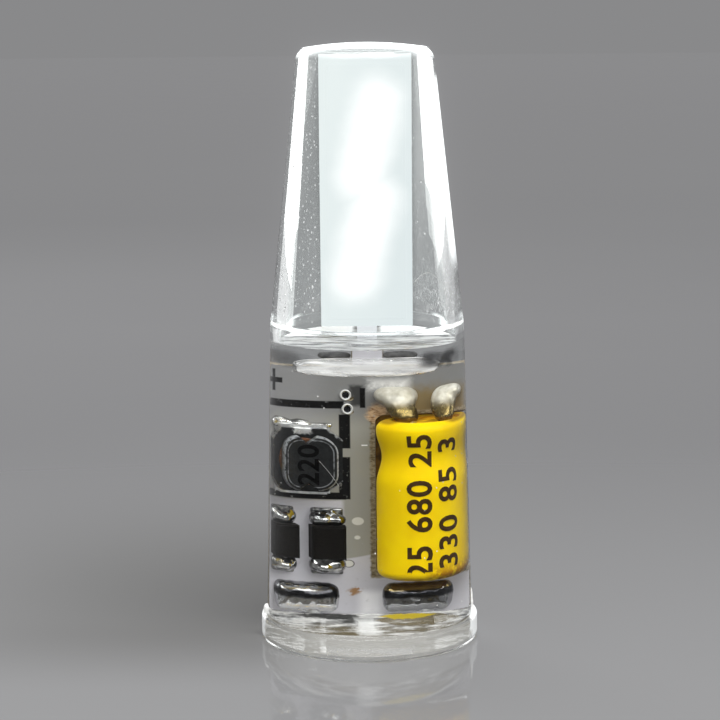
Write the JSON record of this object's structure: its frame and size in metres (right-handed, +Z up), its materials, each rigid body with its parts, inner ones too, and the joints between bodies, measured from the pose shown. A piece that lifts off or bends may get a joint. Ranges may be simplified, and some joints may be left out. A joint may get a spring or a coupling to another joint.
{
  "type": "bi-pin led bulb",
  "caption": "Low-voltage LED bulb on two round contact pins: a lit translucent plate in a clear tapered cap, over a driver board potted in clear resin.",
  "frame": {"origin": "middle of the foot's underside, midway between the two contact pins, on the bulb's axis", "axes": "+Z up along the bulb to its crown, +X from the left contact pin to the right one, -Y towards the lit, wired side of the board"},
  "size_m": [0.011, 0.011, 0.0375],
  "materials": {
    "clear_plastic": "polished clear moulding",
    "clear_resin": "clear potting resin",
    "board_mask": "white solder mask with black line print",
    "lit_ceramic": "translucent, lit from within",
    "phosphor": "phosphor coat, lit",
    "led_chip": "lit chip",
    "tinned_strip": "tinned",
    "solder": "reflowed solder, bright",
    "ferrite": "dark sintered ferrite",
    "enamelled_wire": "enamelled copper wire",
    "yellow_sleeve": "shrunk sleeve with brown print",
    "can_metal": "drawn",
    "bung_rubber": "moulded",
    "black_mould": "moulded package",
    "resistor_ceramic": "glazed",
    "capacitor_ceramic": "sintered",
    "pin_metal": "tinned"
  },
  "bodies": {
    "root": {"clear_shell": "clear_plastic", "resin_fill": "clear_resin", "circuit_board": "board_mask", "led_plate": "lit_ceramic", "led_chips": "led_chip", "phosphor_front": "phosphor", "phosphor_rear": "phosphor", "led_solder_left": "solder", "led_solder_right": "solder", "inductor_core": "ferrite", "inductor_winding": "enamelled_wire", "inductor_terminals": "tinned_strip", "capacitor_can": "can_metal", "capacitor_sleeve": "yellow_sleeve", "capacitor_bung": "bung_rubber", "capacitor_lead_left": "tinned_strip", "capacitor_lead_right": "tinned_strip", "capacitor_solder_left": "solder", "capacitor_solder_right": "solder", "contact_pin_left": "pin_metal", "contact_pin_right": "pin_metal", "pin_solder_left": "solder", "pin_solder_right": "solder", "board_solder": "solder", "driver_chip": "black_mould", "driver_chip_leads": "tinned_strip", "freewheel_diode": "black_mould", "freewheel_diode_leads": "tinned_strip", "sense_resistor": "resistor_ceramic", "sense_resistor_ends": "tinned_strip", "ceramic_capacitor": "capacitor_ceramic", "ceramic_capacitor_ends": "tinned_strip", "front_left_diode": "black_mould", "front_left_diode_leads": "tinned_strip", "front_right_diode": "black_mould", "front_right_diode_leads": "tinned_strip", "rear_left_diode": "black_mould", "rear_left_diode_leads": "tinned_strip", "rear_right_diode": "black_mould", "rear_right_diode_leads": "tinned_strip"}
  },
  "joints": []
}
